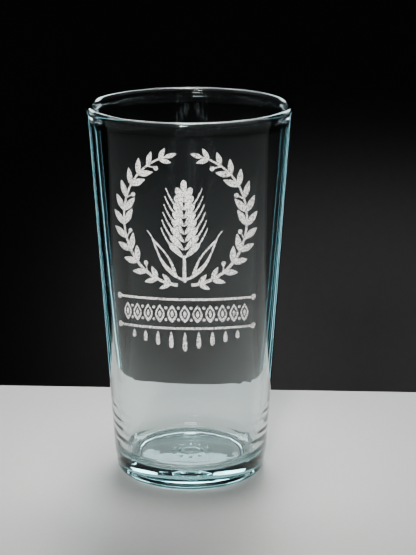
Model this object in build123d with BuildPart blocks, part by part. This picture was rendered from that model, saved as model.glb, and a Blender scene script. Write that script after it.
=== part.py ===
"""Pint glass: one moulded conical tumbler of clear soda-lime glass with a laser-engraved ornament.

The glass itself is a single revolved solid with a fire-polished rim bead, a wall that thickens
downwards, a heavy base and a concave underside inside a flat standing ring. The engraving is a
plain laurel wreath round an ear of barley, with a band and a row of drops below. It is kept as
thin frosted skins that lie against the outer wall, on the side that faces -Y. Each group of
engraved strokes is a node of its own, so the decoration can be changed or left off.

Millimetres, +Z up, origin at the centre of the standing ring.
"""

import os
from math import atan2, cos, hypot, pi, radians, sin

from build123d import *

# Outer form
HEIGHT = 158.0
HEEL_TOP = 11.0  # where the straight outer wall begins
HEEL_RADIUS = 32.7
WALL_TOP = 153.5  # where the rim bead begins
WALL_TOP_RADIUS = 42.05
FOOT_RADIUS = 31.8  # widest point of the rounded foot
FOOT_ROUND = 4.0
RING_INNER = 24.6  # inner edge of the flat standing ring
PUNT_EDGE = 21.5
PUNT_EDGE_DEPTH = 1.7
PUNT_DEPTH = 2.4  # hollow of the underside at its centre

# Rim bead and inner form
RIM_RADIUS = 42.5
RIM_THICKNESS = 2.9
FLOOR_HEIGHT = 8.0
FLOOR_RADIUS = 22.6
INNER_HEEL = 6.0
WALL_BY_HEIGHT = ((30.0, 3.45), (60.0, 2.75), (100.0, 2.35), (140.0, 2.2), (152.0, 2.15))

# Engraving
FROST = 0.1  # thickness of the frosted skins
STROKE_REACH = 60.0  # longer than any radius, so a stroke's prism passes through the wall
LAYER_LOW = 58.0
LAYER_HIGH = 153.0
BOW = 0.002  # the lines bow by this much a square millimetre off the middle
SIDES = (-1, 1)

# Ornament: u is along the wall from the middle of the front, v is the height
OUTLINE = 0.7  # line width of the open lozenges and blades
LEAF_SKEW = 0.9  # under 1, a leaf is fullest below its middle
WREATH_MIDDLE = 118.5
WREATH_WIDE = 26.5  # half width and half height of the branches' oval
WREATH_HIGH = 27.0
WREATH_START = radians(6)  # angles round the oval from its lowest point
WREATH_END = radians(164)
BRANCH_WIDTHS = (1.3, 0.7)  # at its foot and at its tip
LEAF_PAIRS = 13
LEAF_LENGTH = 8.2
LEAF_SLIMNESS = 0.36
LEAF_LEAN = radians(38)
LEAST_LEAF = 0.6  # share of the full length at both ends of a branch
BERRY_EVERY = 3
BERRY_STALK = 3.8
BERRY_RADIUS = 0.95
STALK = 0.55
RULE_WIDTH = 0.95
RULE_END = 1.3  # radius of the dots that end a rule
UPPER_RULE = (30.5, 85.5)  # half length and height
LOWER_RULE = (30.5, 73.1)
BAND_COUNT = 11
BAND_PITCH = 5.15
BAND_HEIGHT = 7.6
BAND_WIDTH = 4.0
BAND_DOT = 0.62
DROP_COUNT = 9
DROP_PITCH = 5.6
DROP_GAP = 1.5
DROP_LONGEST = 8.4
DROP_SHORTEST = 3.4
DROP_WIDTH = 2.5
EAR_BASE = 103.0
EAR_STEP = 3.3
EAR_ROWS = 8


def wall_radius(z):
    """Outer radius of the straight wall at height z."""
    return HEEL_RADIUS + (WALL_TOP_RADIUS - HEEL_RADIUS) * (z - HEEL_TOP) / (WALL_TOP - HEEL_TOP)


def wrap(point):
    """A point (u, v) of the flat artwork, as it is seen from the front once it lies on the wall."""
    u, v = point
    z = v - BOW * u * u
    radius = wall_radius(z)
    return (radius * sin(u / radius), z)


def outline(*runs):
    """Adds one closed face whose edge is a spline through each run, joined end to end."""
    with BuildLine() as edge:
        for start, end in zip(runs, runs[1:] + runs[:1]):
            points = [wrap(p) for p in start]
            if len(points) > 2:
                Spline(*points)
            else:
                Line(*points)
            corner = wrap(end[0])
            if hypot(points[-1][0] - corner[0], points[-1][1] - corner[1]) > 1e-6:
                Line(points[-1], corner)
    make_face(edge.edges())


def across(base, tip, along, off):
    """The point a share along from base to tip, and off to its left."""
    du, dv = tip[0] - base[0], tip[1] - base[1]
    length = hypot(du, dv)
    return (base[0] + du * along - dv / length * off, base[1] + dv * along + du / length * off)


def leaf_runs(base, tip, width):
    """Both edges of a leaf that is pointed at its base and at its tip."""
    edge = [(k / 4, width / 2 * sin(pi * (k / 4) ** LEAF_SKEW)) for k in range(5)]
    left = [across(base, tip, t, w) for t, w in edge]
    right = [across(base, tip, t, -w) for t, w in reversed(edge)]
    return left, right


def leaf(base, tip, width, hollow=False):
    """A leaf: solid, or open with an outline all round."""
    outline(*leaf_runs(base, tip, width))
    if hollow:
        with BuildSketch(mode=Mode.PRIVATE) as opening:
            outline(*leaf_runs(across(base, tip, 0.2, 0), across(base, tip, 0.84, 0), width - 2 * OUTLINE))
        add(opening.sketch, mode=Mode.SUBTRACT)


def bud(base, tip, width):
    """A solid drop that is pointed at its base and round at its tip."""
    turns = [pi * k / 6 for k in range(7)]
    edge = [((1 - cos(a)) / 2, width / 2 * sin(a) * (1 - 0.62 * cos(a / 2) ** 2)) for a in turns]
    left = [across(base, tip, t, w) for t, w in edge]
    right = [across(base, tip, t, -w) for t, w in reversed(edge)]
    outline(left, right)


def dot(centre, radius):
    """A round dot."""
    points = [
        wrap((centre[0] + radius * cos(a), centre[1] + radius * sin(a)))
        for a in (pi * k / 3 for k in range(6))
    ]
    with BuildLine() as edge:
        Spline(*points, periodic=True)
    make_face(edge.edges())


def stroke(points, start_width, end_width):
    """A line of changing width along a smooth path through the points, round at its far end."""
    with BuildLine() as line:
        path = Spline(*points)
    steps = 2 * len(points)
    left, right = [], []
    for k in range(steps + 1):
        at, along = path @ (k / steps), path % (k / steps)
        half = (start_width + (end_width - start_width) * k / steps) / 2
        left.append((at.X - along.Y * half, at.Y + along.X * half))
        right.append((at.X + along.Y * half, at.Y - along.X * half))
    outline(left, right[::-1])


def berry(base, centre, radius):
    """A small dot on a thin straight stalk."""
    stalk = across(base, centre, 0.5, 0)
    stroke([base, stalk, centre], STALK, STALK * 0.8)
    dot(centre, radius)


def turned(side, *points):
    """The same points on the left (-1) or the right (1) of the middle."""
    return [(side * u, v) for u, v in points]


def draw_wreath(side):
    """Half of a laurel wreath: a branch with pairs of leaves, some of them given over to a berry."""

    def on_branch(angle):
        return (side * WREATH_WIDE * sin(angle), WREATH_MIDDLE - WREATH_HIGH * cos(angle))

    def off_branch(angle, lean, reach):
        way = atan2(WREATH_HIGH * sin(angle), side * WREATH_WIDE * cos(angle)) + lean
        base = on_branch(angle)
        return (base[0] + reach * cos(way), base[1] + reach * sin(way))

    sweep = WREATH_END - WREATH_START
    stroke([on_branch(WREATH_START + sweep * k / 8) for k in range(9)], *BRANCH_WIDTHS)
    for k in range(LEAF_PAIRS):
        share = (k + 0.5) / LEAF_PAIRS
        angle = WREATH_START + sweep * share
        length = LEAF_LENGTH * (LEAST_LEAF + (1 - LEAST_LEAF) * sin(pi * share))
        for lean in (-LEAF_LEAN * side, LEAF_LEAN * side):
            inward = lean * side > 0
            if inward and k % BERRY_EVERY == BERRY_EVERY - 1:
                berry(on_branch(angle), off_branch(angle, 1.3 * lean, BERRY_STALK), BERRY_RADIUS)
            else:
                leaf(on_branch(angle), off_branch(angle, lean, length), length * LEAF_SLIMNESS)
    length = LEAF_LENGTH * LEAST_LEAF
    leaf(on_branch(WREATH_END - radians(1)), off_branch(WREATH_END, 0, length), length * LEAF_SLIMNESS)


def draw_barley():
    """An upright ear of barley in two rows of grains, with beards and a pair of blades."""
    stroke([(0, 92.9), (0, 98.5), (0, EAR_BASE + 1)], 1.5, 1.1)
    for side in SIDES:
        for row in range(EAR_ROWS):
            height = EAR_BASE + EAR_STEP * row
            spread = 5.9 - 0.42 * row
            bud(*turned(side, (0.15, height), (spread, height + 6.0)), 3.3)
            beard = (spread - 0.5, height + 5.2), (spread + 1.7, height + 8.6), (spread + 3.4, height + 12.4)
            if height + 12.4 < EAR_BASE + 31:
                stroke(turned(side, *beard), 0.75, 0.35)
        blade = turned(side, (0.3, 94.0), (5.2, 96.4), (9.6, 102.0), (12.4, 109.6), (15.4, 114.2))
        stroke(blade, 1.0, 0.3)
        leaf(*turned(side, (2.6, 94.4), (13.6, 111.6)), 3.6, hollow=True)
    bud((0, EAR_BASE + EAR_STEP * (EAR_ROWS - 1) + 2.4), (0, 135.2), 3.2)


def draw_rule(half_length, height):
    """A thin rule that bows over the front, with a dot at each end."""
    steps = 8
    along = [half_length * (2 * k / steps - 1) for k in range(steps + 1)]
    above = [(u, height + RULE_WIDTH / 2) for u in along]
    below = [(u, height - RULE_WIDTH / 2) for u in reversed(along)]
    outline(above, below)
    for side in SIDES:
        dot((side * half_length, height), RULE_END)


def draw_band():
    """A row of open lozenges with two dots between each pair."""
    middle = (UPPER_RULE[1] + LOWER_RULE[1]) / 2
    for k in range(BAND_COUNT):
        u = BAND_PITCH * (k - (BAND_COUNT - 1) / 2)
        leaf((u, middle - BAND_HEIGHT / 2), (u, middle + BAND_HEIGHT / 2), BAND_WIDTH, hollow=True)
        leaf((u, middle - BAND_HEIGHT / 5), (u, middle + BAND_HEIGHT / 5), BAND_WIDTH / 3)
        if k:
            for rise in SIDES:
                dot((u - BAND_PITCH / 2, middle + rise * BAND_HEIGHT / 3), BAND_DOT)


def draw_drops():
    """A row of drops under the lower rule, longest in the middle."""
    top = LOWER_RULE[1] - DROP_GAP
    half = (DROP_COUNT - 1) / 2
    for k in range(DROP_COUNT):
        u = DROP_PITCH * (k - half)
        length = DROP_LONGEST - (DROP_LONGEST - DROP_SHORTEST) * abs(k - half) / half
        bud((u, top), (u, top - length), DROP_WIDTH)


def engrave(name, draw, *values):
    """The named group of strokes as frosted skins on the front of the outer wall."""
    with BuildPart() as group:
        with BuildSketch(Plane.XZ):
            draw(*values)
        extrude(amount=STROKE_REACH)
        add(frost_layer.part, mode=Mode.INTERSECT)
    group.part.label = name
    return group.part


with BuildPart() as frost_layer:
    with BuildSketch(Plane.XZ):
        with BuildLine():
            low, high = wall_radius(LAYER_LOW), wall_radius(LAYER_HIGH)
            inner = [(low, LAYER_LOW), (high, LAYER_HIGH)]
            Polyline(*inner, *[(r + FROST, z) for r, z in reversed(inner)], close=True)
        make_face()
    revolve(axis=Axis.Z)

engraved = [
    engrave("engraved_wreath_left", draw_wreath, -1),
    engrave("engraved_wreath_right", draw_wreath, 1),
    engrave("engraved_barley", draw_barley),
    engrave("engraved_upper_rule", draw_rule, *UPPER_RULE),
    engrave("engraved_band", draw_band),
    engrave("engraved_lower_rule", draw_rule, *LOWER_RULE),
    engrave("engraved_drops", draw_drops),
]

with BuildPart() as glass_body:
    with BuildSketch(Plane.XZ):
        with BuildLine():
            bead = RIM_THICKNESS / 2
            bead_height = HEIGHT - bead
            bead_radius = RIM_RADIUS - bead
            inner_heel_top = (FLOOR_RADIUS + INNER_HEEL, FLOOR_HEIGHT + INNER_HEEL)
            Line((0, PUNT_DEPTH), (0, FLOOR_HEIGHT))
            Line((0, FLOOR_HEIGHT), (FLOOR_RADIUS, FLOOR_HEIGHT))
            heel = RadiusArc((FLOOR_RADIUS, FLOOR_HEIGHT), inner_heel_top, -INNER_HEEL)
            inner_wall = Spline(
                heel @ 1,
                *[(wall_radius(z) - wall, z) for z, wall in WALL_BY_HEIGHT],
                (RIM_RADIUS - RIM_THICKNESS, bead_height),
                tangents=[(0, 1), (0, 1)],
            )
            ThreePointArc(inner_wall @ 1, (bead_radius, HEIGHT), (RIM_RADIUS, bead_height))
            slope = (WALL_TOP_RADIUS - HEEL_RADIUS, WALL_TOP - HEEL_TOP)
            Spline(
                (RIM_RADIUS, bead_height),
                (WALL_TOP_RADIUS, WALL_TOP),
                tangents=[(0, -1), (-slope[0], -slope[1])],
            )
            Line((WALL_TOP_RADIUS, WALL_TOP), (HEEL_RADIUS, HEEL_TOP))
            Spline(
                (HEEL_RADIUS, HEEL_TOP),
                (FOOT_RADIUS, FOOT_ROUND),
                tangents=[(-slope[0], -slope[1]), (0, -1)],
            )
            foot = RadiusArc((FOOT_RADIUS, FOOT_ROUND), (FOOT_RADIUS - FOOT_ROUND, 0), FOOT_ROUND)
            Line(foot @ 1, (RING_INNER, 0))
            hollow_points = (RING_INNER, 0), (PUNT_EDGE, PUNT_EDGE_DEPTH), (0, PUNT_DEPTH)
            Spline(*hollow_points, tangents=[(-0.9, 1), (-1, 0)])
        make_face()
    revolve(axis=Axis.Z)
glass_body.part.label = "glass_body"

os.makedirs("parts", exist_ok=True)
export_step(glass_body.part, "parts/glass_body.step")
for skin in engraved:
    export_step(skin, f"parts/{skin.label}.step")
    print(f"{skin.label}: {len(skin.solids())} solids, {skin.volume:.2f} mm3")
print(f"glass_body: {glass_body.part.volume / 1000:.1f} cm3, {glass_body.part.bounding_box().size}")
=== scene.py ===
"""A tapered pint glass with a frosted laurel wreath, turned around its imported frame, on a small stage."""

import math

import bmesh
import bpy
from bpy.props import FloatProperty, FloatVectorProperty, IntProperty, PointerProperty
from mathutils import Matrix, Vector


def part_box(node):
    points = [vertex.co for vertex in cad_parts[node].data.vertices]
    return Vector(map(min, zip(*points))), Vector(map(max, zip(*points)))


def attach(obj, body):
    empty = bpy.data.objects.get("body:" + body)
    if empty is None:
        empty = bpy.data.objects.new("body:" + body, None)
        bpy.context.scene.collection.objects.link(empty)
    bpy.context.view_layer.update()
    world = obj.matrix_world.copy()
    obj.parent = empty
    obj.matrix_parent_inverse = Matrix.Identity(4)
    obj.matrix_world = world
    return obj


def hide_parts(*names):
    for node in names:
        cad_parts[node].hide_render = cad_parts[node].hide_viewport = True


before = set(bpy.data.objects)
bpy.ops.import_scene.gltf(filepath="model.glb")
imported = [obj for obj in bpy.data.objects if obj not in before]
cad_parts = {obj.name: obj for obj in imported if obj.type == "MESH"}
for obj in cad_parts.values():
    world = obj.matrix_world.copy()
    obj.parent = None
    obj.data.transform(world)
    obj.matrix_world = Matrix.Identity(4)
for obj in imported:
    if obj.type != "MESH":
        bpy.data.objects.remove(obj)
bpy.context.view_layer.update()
GLASS_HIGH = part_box("glass_body")[1]
ENGRAVED = sorted(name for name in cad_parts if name.startswith("engraved_"))

bl_info = {
    "name": "Engraved Pint Glass",
    "version": (1, 0, 0),
    "blender": (4, 5, 0),
    "location": "3D View > Sidebar > Pint Glass",
    "description": "Turns a clear pint glass and frosts the wreath on its wall",
    "category": "Add Mesh",
}

MM = 0.001
SEGMENTS = 240
TOUCH = 1e-6  # places nearer than this count as the same
SKIN_GAP = 0.01 * MM  # air between the turned wall and the frosted skins that lie on it
LEAST_WALL = 1.6 * MM  # every place further in than this is on the inner wall
HEEL_REACH, BEAD_REACH = 7 * MM, 3.2 * MM  # how gently the wall turns into the heel and into the rim bead

PUNT_EDGE, PUNT_EDGE_DEPTH = 21.5 * MM, 1.7 * MM  # where the hollow under the base turns down to the ring
RING_LIP, RING_LIP_DEPTH = 0.08 * MM, 0.05 * MM  # the step at the inner edge of the standing ring
STIPPLE_RISE, STIPPLE_SHARE = 0.3 * MM, 0.3  # how deep the stipples are, and how much of the ring they take
MARK_RADIUS, MARK_WIDTH, MARK_DEPTH = 4.4 * MM, 0.45 * MM, 0.6 * MM  # the raised ring in the hollow
DOTS, DOT_SHARE = 12, 0.24  # the raised dots round that ring, and how much of their circle they take
DOT_LOW, DOT_HIGH, DOT_DEPTH = 7.4 * MM, 8.5 * MM, 0.4 * MM

SEAM_TURN, SEAM_POWER = 0.06, 5  # the two mould seams: their turn from the sides, and how narrow they are
RIPPLE_REACH, RIPPLE_START = 21 * MM, 3 * MM  # how far the ripples run up the wall, and how soon they begin
RIPPLE_PITCH, FINE_PITCH, RIPPLE_SLANT = 4.3 * MM, 2.9 * MM, 1.6 * MM
WOBBLE_SIZE = 22 * MM

BACKDROP_RADIUS, BACKDROP_HIGH, BACKDROP_DROP = 1.5, 2.2, 0.1


def length(name, description, default):
    """A size in metres that a user may change."""
    return FloatProperty(name=name, description=description, default=default, precision=5, unit="LENGTH")


def angle(name, description, degrees):
    """An angle that a user may change, given in degrees."""
    return FloatProperty(name=name, description=description, default=math.radians(degrees), subtype="ANGLE")


def colour(name, description, default):
    """A linear colour that a user may change."""
    return FloatVectorProperty(name=name, description=description, default=default, size=3, subtype="COLOR")


def power(name, default):
    """A lamp's power in watts."""
    return FloatProperty(name=name, description=f"Power of the {name.lower()}", default=default, unit="POWER")


class GlassForm(bpy.types.PropertyGroup):
    """Sizes of the turned glass."""

    height: length("Height", "From the standing ring to the top of the rim", GLASS_HIGH.z)
    rim_radius: length("Rim radius", "Widest radius of the rim bead", GLASS_HIGH.x)
    rim_thickness: length("Rim thickness", "Thickness of the rim bead", 2.9 * MM)
    wall_top: length("Wall top", "Height where the straight wall meets the rim", 153.5 * MM)
    wall_top_radius: length("Wall top radius", "Outer radius there", 42.05 * MM)
    heel_top: length("Heel top", "Height where the straight wall begins", 11 * MM)
    heel_radius: length("Heel radius", "Outer radius there", 32.7 * MM)
    foot_radius: length("Foot radius", "Widest radius of the rounded foot", 31.8 * MM)
    foot_round: length("Foot rounding", "Radius of the foot's rounded edge", 4 * MM)
    ring_inner: length("Standing ring", "Inner radius of the flat ring it stands on", 24.6 * MM)
    punt_depth: length("Hollow", "Depth of the hollow under the base", 2.4 * MM)
    floor_height: length("Floor height", "Height of the inside floor", 8 * MM)
    floor_radius: length("Floor radius", "Radius of the flat part of the floor", 22.6 * MM)
    inner_heel: length("Inner heel", "Rounding between floor and inner wall", 6 * MM)
    ripple: length("Ripple", "Height of the moulding ripples inside the lower wall", 0.13 * MM)
    wobble: length("Wobble", "Unevenness of the inner wall", 0.014 * MM)
    stipples: IntProperty(name="Stipples", description="Stipples round the standing ring", default=60)


class GlassFinish(bpy.types.PropertyGroup):
    """Colour and clearness of the glass and of its frosting."""

    tint: colour("Tint", "Colour that deep glass keeps", (0.16, 0.76, 0.80))
    depth: FloatProperty(name="Tint depth", description="How fast the glass takes its tint", default=20.0)
    ior: FloatProperty(name="Refraction", description="Refractive index of the glass", default=1.52)
    frost: colour("Frost", "Colour of the laser frosting", (0.93, 0.93, 0.91))
    frost_dark: colour("Frost grain", "Colour in the pits of the frosting", (0.08, 0.085, 0.085))


class StageLook(bpy.types.PropertyGroup):
    """Floor, backdrop, lamps and camera."""

    floor: colour("Floor", "Colour of the pale floor", (0.56, 0.55, 0.53))
    floor_width: length("Floor width", "Across the floor", 1.8)
    floor_front: length("Floor in front", "How far the floor runs in front of the glass", 1.0)
    floor_back: length("Floor behind", "Short enough to leave the frosting against the dark backdrop", 0.1)
    backdrop: colour("Backdrop", "Colour of the surround", (0.03, 0.03, 0.031))
    air: colour("Air", "Light from all round", (0.07, 0.07, 0.074))
    key: power("Front softbox", 0.5)
    pool: power("Floor light", 0.05)
    sky: power("Ceiling", 0.75)
    back: power("Back softbox", 1.6)
    sides: power("Edge strips", 0.028)
    rim: power("Rim light", 0.26)
    corners: power("Corner lamps", 0.42)
    lens: FloatProperty(name="Lens", description="Focal length in millimetres", default=117.5)
    distance: length("Distance", "From the glass's axis to the camera", 734 * MM)
    eye: length("Eye height", "Height of the camera", 289.8 * MM)
    turn: angle("Turn", "Way round the glass", 3.5)
    tilt: angle("Tilt", "Below level", 15.65)
    pan: angle("Pan", "Right of the axis", 0.58)


# ---- turning ------------------------------------------------------------------------------


def arc(centre, radius, start, end, steps):
    """Points on a circle from one angle to another, in degrees, without the first."""
    for k in range(1, steps + 1):
        a = math.radians(start + (end - start) * k / steps)
        yield centre[0] + radius * math.cos(a), centre[1] + radius * math.sin(a)


def eased(start, start_way, end, end_way, steps):
    """Points on a smooth curve that leaves and arrives along the given ways, without the first."""
    for k in range(1, steps + 1):
        t = k / steps
        a, b = 2 * t**3 - 3 * t**2 + 1, t**3 - 2 * t**2 + t
        c, d = 1 - a, t**3 - t**2
        yield tuple(a * s + b * sw + c * e + d * ew for s, sw, e, ew in zip(start, start_way, end, end_way))


def between(table, at):
    """Value at a place, along straight lines between the rows of a table of (place, value)."""
    for (a, low), (b, high) in zip(table, table[1:]):
        if a <= at <= b:
            t = (at - a) / (b - a)
            return low + (high - low) * t
    return table[0][1] if at < table[0][0] else table[-1][1]


def outer_radius(form, z):
    """Outer radius of the straight wall at a height."""
    share = (z - form.heel_top) / (form.wall_top - form.heel_top)
    return form.heel_radius + (form.wall_top_radius - form.heel_radius) * share


def inner_radius(form, z):
    """Radius of the inner wall at a height."""
    bead = form.rim_thickness / 2
    top = form.height - bead
    low = form.floor_height + form.inner_heel
    wall = (
        (low, outer_radius(form, low) - form.floor_radius - form.inner_heel),
        (18 * MM, 3.95 * MM),
        (23 * MM, 3.68 * MM),
        (30 * MM, 3.45 * MM),
        (44 * MM, 3.06 * MM),
        (60 * MM, 2.75 * MM),
        (80 * MM, 2.52 * MM),
        (100 * MM, 2.35 * MM),
        (140 * MM, 2.2 * MM),
        (152 * MM, 2.15 * MM),
        (top, outer_radius(form, top) - form.rim_radius + form.rim_thickness),
    )
    return outer_radius(form, z) - between(wall, z)


def ripple_at(form, p):
    """How far the moulding ripples push the inner wall outwards at a place: most on the two mould seams."""
    low = form.floor_height + form.inner_heel
    fade = max(0.0, 1 - (p.z - low) / RIPPLE_REACH) * min(1.0, max(0.0, p.z - low) / RIPPLE_START)
    seam = abs(math.sin(math.atan2(p.x, -p.y) - SEAM_TURN)) ** SEAM_POWER
    slant = RIPPLE_SLANT * math.cos(3 * math.atan2(p.y, p.x))
    wave = math.sin(math.tau * (p.z + slant) / RIPPLE_PITCH) + 0.5 * math.sin(math.tau * p.z / FINE_PITCH + 1)
    return form.ripple * fade * seam * wave


def glass_profile(form):
    """The section of the glass from the middle of the hollow, round the rim, to the middle of the floor."""
    points = []
    steps = 56
    for k in range(1, steps + 1):
        r = PUNT_EDGE * k / steps
        z = form.punt_depth - (form.punt_depth - PUNT_EDGE_DEPTH) * (r / PUNT_EDGE) ** 2
        z -= MARK_DEPTH * math.exp(-(((r - MARK_RADIUS) / MARK_WIDTH) ** 2))
        points.append((r, z))
    punt_edge, punt_way = (PUNT_EDGE, PUNT_EDGE_DEPTH), (3 * MM, -0.6 * MM)
    ring_edge, ring_way = (form.ring_inner, RING_LIP_DEPTH), (3.2 * MM, -2.6 * MM)
    points += eased(punt_edge, punt_way, ring_edge, ring_way, 7)
    ring_outer = form.foot_radius - form.foot_round
    steps = 8
    for k in range(steps + 1):
        across = (ring_outer - form.ring_inner - RING_LIP) * k / steps
        points.append((form.ring_inner + RING_LIP + across, 0.0))
    points += arc((ring_outer, form.foot_round), form.foot_round, -90, 0, 10)
    slope = form.wall_top_radius - form.heel_radius, form.wall_top - form.heel_top
    reach = HEEL_REACH / math.hypot(*slope)
    way = slope[0] * reach, slope[1] * reach
    foot, heel = (form.foot_radius, form.foot_round), (form.heel_radius, form.heel_top)
    points += eased(foot, (0, HEEL_REACH), heel, way, 7)
    steps = 40
    for k in range(1, steps + 1):
        z = form.heel_top + (form.wall_top - form.heel_top) * k / steps
        points.append((outer_radius(form, z) - SKIN_GAP, z))
    bead = form.rim_thickness / 2
    top = form.height - bead
    reach = BEAD_REACH / math.hypot(*slope)
    way = slope[0] * reach, slope[1] * reach
    points += eased(points[-1], way, (form.rim_radius, top), (0, BEAD_REACH), 6)
    points += arc((form.rim_radius - bead, top), bead, 0, 180, 16)
    low = form.floor_height + form.inner_heel
    steps = 150
    for k in range(1, steps + 1):
        z = top + (low - top) * (k / steps) ** 0.8
        points.append((inner_radius(form, z), z))
    points += arc((form.floor_radius, low), form.inner_heel, 0, -90, 12)
    steps = 14
    for k in range(1, steps + 1):
        points.append((form.floor_radius * (1 - k / (steps + 1)), form.floor_height))
    return points


def deselect():
    """Leaves nothing selected."""
    bpy.ops.object.select_all(action="DESELECT")


def turned(name, profile, segments):
    """A closed solid made by extruding a ring of edges along a section and closing both its poles."""
    deselect()
    radius, height = profile[0]
    start = (0, 0, height)
    bpy.ops.mesh.primitive_circle_add(vertices=segments, radius=radius, fill_type="NOTHING", location=start)
    piece = bpy.context.object
    piece.name = piece.data.name = name
    bpy.ops.object.transform_apply(location=True, rotation=True, scale=True)
    bpy.ops.object.mode_set(mode="EDIT")
    bpy.ops.mesh.select_mode(type="VERT")
    for (r0, z0), (r1, z1) in zip(profile, profile[1:]):
        bpy.ops.mesh.extrude_region_move(TRANSFORM_OT_translate={"value": (0, 0, z1 - z0)})
        bpy.ops.transform.resize(value=(r1 / r0, r1 / r0, 1), center_override=(0, 0, z1))
    bpy.ops.mesh.extrude_region_move(TRANSFORM_OT_translate={"value": (0, 0, 0)})
    bpy.ops.mesh.merge(type="CENTER")
    pick(lambda p: abs(p.z - height) < TOUCH and radius_of(p) < radius * 1.01)
    bpy.ops.mesh.extrude_region_move(TRANSFORM_OT_translate={"value": (0, 0, 0)})
    bpy.ops.mesh.merge(type="CENTER")
    bpy.ops.mesh.select_all(action="SELECT")
    bpy.ops.mesh.normals_make_consistent(inside=False)
    return piece


def pick(test):
    """Selects the vertices whose place passes the test, in edit mode."""
    bpy.ops.mesh.select_all(action="DESELECT")
    mesh = bmesh.from_edit_mesh(bpy.context.edit_object.data)
    for vertex in mesh.verts:
        if test(vertex.co):
            vertex.select = True
    mesh.select_flush_mode()
    bmesh.update_edit_mesh(bpy.context.edit_object.data)


def radius_of(p):
    """How far a place is from the glass's axis."""
    return math.hypot(p.x, p.y)


def sector_of(p, count):
    """Which of so many even sectors a place is in, as a number with its fraction."""
    return (math.atan2(p.y, p.x) / math.tau * count) % count


def apply_displace(piece, name, test, strength, size, depth):
    """Moves the picked part of a piece a little along its normals, as a soft cloud pattern says."""
    group = piece.vertex_groups.new(name=name)
    group.add([v.index for v in piece.data.vertices if test(v.co)], 1.0, "REPLACE")
    cloud = bpy.data.textures.new(name, "CLOUDS")
    cloud.noise_scale = size
    cloud.noise_depth = depth
    wave = piece.modifiers.new(name, "DISPLACE")
    wave.texture = cloud
    wave.texture_coords = "LOCAL"
    wave.vertex_group = name
    wave.strength = strength
    bpy.context.view_layer.objects.active = piece
    bpy.ops.object.modifier_apply(modifier=name)
    piece.vertex_groups.remove(piece.vertex_groups[name])
    bpy.data.textures.remove(cloud)


# ---- finishes -----------------------------------------------------------------------------


def new_material(name):
    """A material with its Principled node, its node maker and its linker."""
    material = bpy.data.materials.new(name)
    material.use_nodes = True
    tree = material.node_tree
    shader = tree.nodes["Principled BSDF"]
    return material, shader, tree.nodes.new, tree.links.new


def clear_glass(finish):
    """Clear soda-lime glass that turns teal where it is deep."""
    material, shader, node, link = new_material("clear_glass")
    shader.inputs["Base Color"].default_value = (0.985, 0.995, 0.995, 1)
    shader.inputs["Roughness"].default_value = 0.0
    shader.inputs["IOR"].default_value = finish.ior
    shader.inputs["Transmission Weight"].default_value = 1.0
    absorb = node("ShaderNodeVolumeAbsorption")
    absorb.inputs["Color"].default_value = (*finish.tint, 1)
    absorb.inputs["Density"].default_value = finish.depth
    link(absorb.outputs[0], material.node_tree.nodes["Material Output"].inputs["Volume"])
    return material


def laser_frost(finish):
    """Glass crazed white by a laser: a fine bright grain with darker pits."""
    material, shader, node, link = new_material("laser_frost")
    place = node("ShaderNodeTexCoord")
    grain = node("ShaderNodeTexNoise")
    grain.inputs["Scale"].default_value = 1900
    grain.inputs["Detail"].default_value = 3
    grain.inputs["Roughness"].default_value = 0.7
    link(place.outputs["Object"], grain.inputs["Vector"])
    ramp = node("ShaderNodeValToRGB")
    ramp.color_ramp.elements[0].position = 0.40
    ramp.color_ramp.elements[0].color = (*finish.frost_dark, 1)
    ramp.color_ramp.elements[1].position = 0.56
    ramp.color_ramp.elements[1].color = (*finish.frost, 1)
    link(grain.outputs["Fac"], ramp.inputs["Fac"])
    link(ramp.outputs["Color"], shader.inputs["Base Color"])
    bump = node("ShaderNodeBump")
    bump.inputs["Strength"].default_value = 0.5
    bump.inputs["Distance"].default_value = 0.00005
    link(grain.outputs["Fac"], bump.inputs["Height"])
    link(bump.outputs["Normal"], shader.inputs["Normal"])
    shader.inputs["Roughness"].default_value = 0.62
    shader.inputs["IOR"].default_value = finish.ior
    return material


def plain(name, tone, roughness, grain, scale):
    """An even matt finish with a little grain, for the stage."""
    material, shader, node, link = new_material(name)
    place = node("ShaderNodeTexCoord")
    noise = node("ShaderNodeTexNoise")
    noise.inputs["Scale"].default_value = scale
    noise.inputs["Detail"].default_value = 4
    link(place.outputs["Object"], noise.inputs["Vector"])
    ramp = node("ShaderNodeValToRGB")
    ramp.color_ramp.elements[0].color = (*(c * (1 - grain) for c in tone), 1)
    ramp.color_ramp.elements[1].color = (*(c * (1 + grain) for c in tone), 1)
    link(noise.outputs["Fac"], ramp.inputs["Fac"])
    link(ramp.outputs["Color"], shader.inputs["Base Color"])
    shader.inputs["Roughness"].default_value = roughness
    return material


# ---- operators ----------------------------------------------------------------------------


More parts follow.
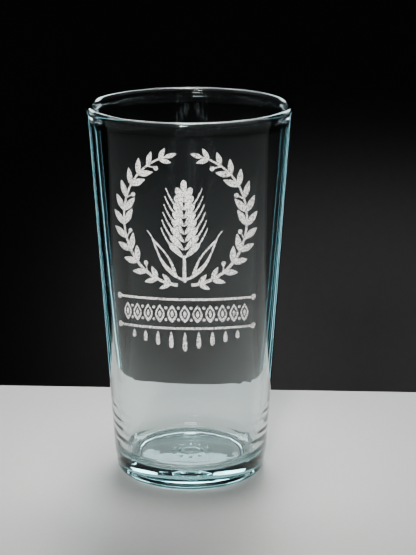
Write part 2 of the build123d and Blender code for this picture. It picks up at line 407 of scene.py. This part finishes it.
class PINTGLASS_OT_body(bpy.types.Operator):
    """Turn the clear glass, stipple its standing ring and mark its base"""

    bl_idname = "pintglass.body"
    bl_label = "Turn the Glass"

    def execute(self, context):
        form = context.scene.pint_form
        piece = turned("pint_glass", glass_profile(form), SEGMENTS)

        # stipples in the standing ring, and a circle of raised dots in the hollow
        low, high = form.ring_inner + 0.9 * MM, form.foot_radius - form.foot_round - 0.5 * MM
        pick(
            lambda p: p.z < TOUCH
            and low < radius_of(p) < high
            and sector_of(p, form.stipples) % 1 < STIPPLE_SHARE
        )
        bpy.ops.transform.translate(value=(0, 0, STIPPLE_RISE))
        under = form.floor_height / 2
        pick(
            lambda p: p.z < under
            and DOT_LOW < radius_of(p) < DOT_HIGH
            and sector_of(p, DOTS) % 1 < DOT_SHARE
        )
        bpy.ops.transform.translate(value=(0, 0, -DOT_DEPTH))
        bpy.ops.mesh.select_all(action="SELECT")
        bpy.ops.object.mode_set(mode="OBJECT")
        bpy.ops.object.shade_smooth()

        def inner(p):
            """Whether a place is on the inner wall, above the rounding at its foot."""
            inside = form.floor_height + form.inner_heel
            return p.z > inside and radius_of(p) < outer_radius(form, p.z) - LEAST_WALL

        for vertex in piece.data.vertices:
            if inner(vertex.co):
                grow = 1 + ripple_at(form, vertex.co) / radius_of(vertex.co)
                vertex.co.x, vertex.co.y = vertex.co.x * grow, vertex.co.y * grow
        apply_displace(piece, "inner_wobble", inner, form.wobble, WOBBLE_SIZE, 1)
        piece.data.materials.clear()
        piece.data.materials.append(clear_glass(context.scene.pint_finish))
        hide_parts("glass_body")
        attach(piece, "root")
        return {"FINISHED"}


class PINTGLASS_OT_engraving(bpy.types.Operator):
    """Frost every engraved stroke of the wreath"""

    bl_idname = "pintglass.engraving"
    bl_label = "Frost the Engraving"

    def execute(self, context):
        frost = laser_frost(context.scene.pint_finish)
        for name in ENGRAVED:
            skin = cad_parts[name]
            skin.data.materials.clear()
            skin.data.materials.append(frost)
        return {"FINISHED"}


def area_light(name, place, target, size, watts, tone, spread):
    """An oval lamp that points at a target, spreads by so many degrees and isn't seen itself."""
    deselect()
    bpy.ops.object.light_add(type="AREA", location=place)
    lamp = bpy.context.object
    lamp.name = lamp.data.name = name
    lamp.data.shape = "ELLIPSE"
    lamp.data.size, lamp.data.size_y = size
    lamp.data.energy = watts
    lamp.data.color = tone
    lamp.data.spread = math.radians(spread)
    lamp.rotation_euler = (Vector(target) - Vector(place)).to_track_quat("-Z", "Y").to_euler()
    lamp.visible_camera = False


class PINTGLASS_OT_stage(bpy.types.Operator):
    """Lay the pale floor, hang the backdrop, and set the lamps and the camera"""

    bl_idname = "pintglass.stage"
    bl_label = "Set the Stage"

    def execute(self, context):
        look = context.scene.pint_stage
        deselect()
        bpy.ops.mesh.primitive_plane_add(size=1, location=(0, 0, 0))
        floor = context.object
        floor.name = floor.data.name = "floor"
        bpy.ops.object.mode_set(mode="EDIT")
        bpy.ops.transform.resize(value=(look.floor_width, look.floor_front + look.floor_back, 1))
        bpy.ops.transform.translate(value=(0, (look.floor_back - look.floor_front) / 2, 0))
        bpy.ops.object.mode_set(mode="OBJECT")
        floor.data.materials.append(plain("pale_floor", look.floor, roughness=0.55, grain=0.05, scale=420))

        deselect()
        bpy.ops.mesh.primitive_cylinder_add(
            vertices=96, radius=BACKDROP_RADIUS, depth=BACKDROP_HIGH, end_fill_type="NOTHING"
        )
        backdrop = context.object
        backdrop.name = backdrop.data.name = "backdrop"
        bpy.ops.object.mode_set(mode="EDIT")
        bpy.ops.transform.translate(value=(0, 0, -BACKDROP_DROP))
        bpy.ops.mesh.flip_normals()
        bpy.ops.object.mode_set(mode="OBJECT")
        bpy.ops.object.shade_smooth()
        cloth = plain("dark_backdrop", look.backdrop, roughness=0.8, grain=0.15, scale=90)
        backdrop.data.materials.append(cloth)

        middle, high, top = ((0, 0, look.eye * share) for share in (0.3, 0.38, 0.54))
        white, soft, warm, rosy = (1, 1, 1), (1, 0.98, 0.96), (1, 0.96, 0.9), (1, 0.96, 0.88)
        cool, cold, teal = (0.86, 0.96, 1), (0.8, 0.95, 1), (0.35, 0.8, 0.9)
        area_light("front_softbox", (-0.1, -1.05, 0.5), high, (0.55, 0.12), look.key, soft, 13)
        area_light("floor_light", (0, -0.01, 0.6), (0, -0.01, 0), (0.12, 0.12), look.pool, white, 24)
        area_light("ceiling", (0, 0.5, 1.25), (0, 0.42, 0), (1.4, 0.7), look.sky, warm, 55)
        area_light("back_softbox", (0, 1.3, 0.75), middle, (1.3, 0.2), look.back, cold, 60)
        for side in (-1, 1):
            strip, corner = (side * 0.42, 0.95, -0.28), (side * 0.62, 1.15, 0.56)
            area_light(f"edge_strip_{side + 2}", strip, middle, (0.04, 0.6), look.sides, teal, 60)
            area_light(f"corner_lamp_{side + 2}", corner, high, (0.6, 0.24), look.corners, cool, 60)
        area_light("rim_light", (0.05, 0.4, 1.1), top, (0.5, 0.09), look.rim, rosy, 24)

        world = bpy.data.worlds.new("studio_air")
        context.scene.world = world
        world.use_nodes = True
        world.node_tree.nodes["Background"].inputs["Color"].default_value = (*look.air, 1)

        x, y = look.distance * math.sin(look.turn), -look.distance * math.cos(look.turn)
        bpy.ops.object.camera_add(location=(x, y, look.eye))
        camera = context.object
        camera.rotation_euler = (math.pi / 2 - look.tilt, 0, look.turn - look.pan)
        camera.data.lens = look.lens
        camera.data.clip_start = 0.01
        context.scene.camera = camera
        return {"FINISHED"}


class PINTGLASS_PT_panel(bpy.types.Panel):
    """Lists the steps that build the glass and its stage"""

    bl_idname = "PINTGLASS_PT_panel"
    bl_label = "Pint Glass"
    bl_space_type = "VIEW_3D"
    bl_region_type = "UI"
    bl_category = "Pint Glass"

    def draw(self, context):
        for step in STEPS:
            self.layout.operator(step.bl_idname)
        for group in (context.scene.pint_form, context.scene.pint_finish, context.scene.pint_stage):
            column = self.layout.column(align=True)
            for name in group.__annotations__:
                column.prop(group, name)


GROUPS = {"pint_form": GlassForm, "pint_finish": GlassFinish, "pint_stage": StageLook}
STEPS = (PINTGLASS_OT_body, PINTGLASS_OT_engraving, PINTGLASS_OT_stage)


def register():
    for cls in (*GROUPS.values(), *STEPS, PINTGLASS_PT_panel):
        bpy.utils.register_class(cls)
    for name, group in GROUPS.items():
        setattr(bpy.types.Scene, name, PointerProperty(type=group))


def unregister():
    for name in GROUPS:
        delattr(bpy.types.Scene, name)
    for cls in (PINTGLASS_PT_panel, *reversed(STEPS), *reversed(tuple(GROUPS.values()))):
        bpy.utils.unregister_class(cls)


def main():
    register()
    bpy.ops.pintglass.body()
    bpy.ops.pintglass.engraving()
    bpy.ops.pintglass.stage()


if __name__ == "__main__":
    main()
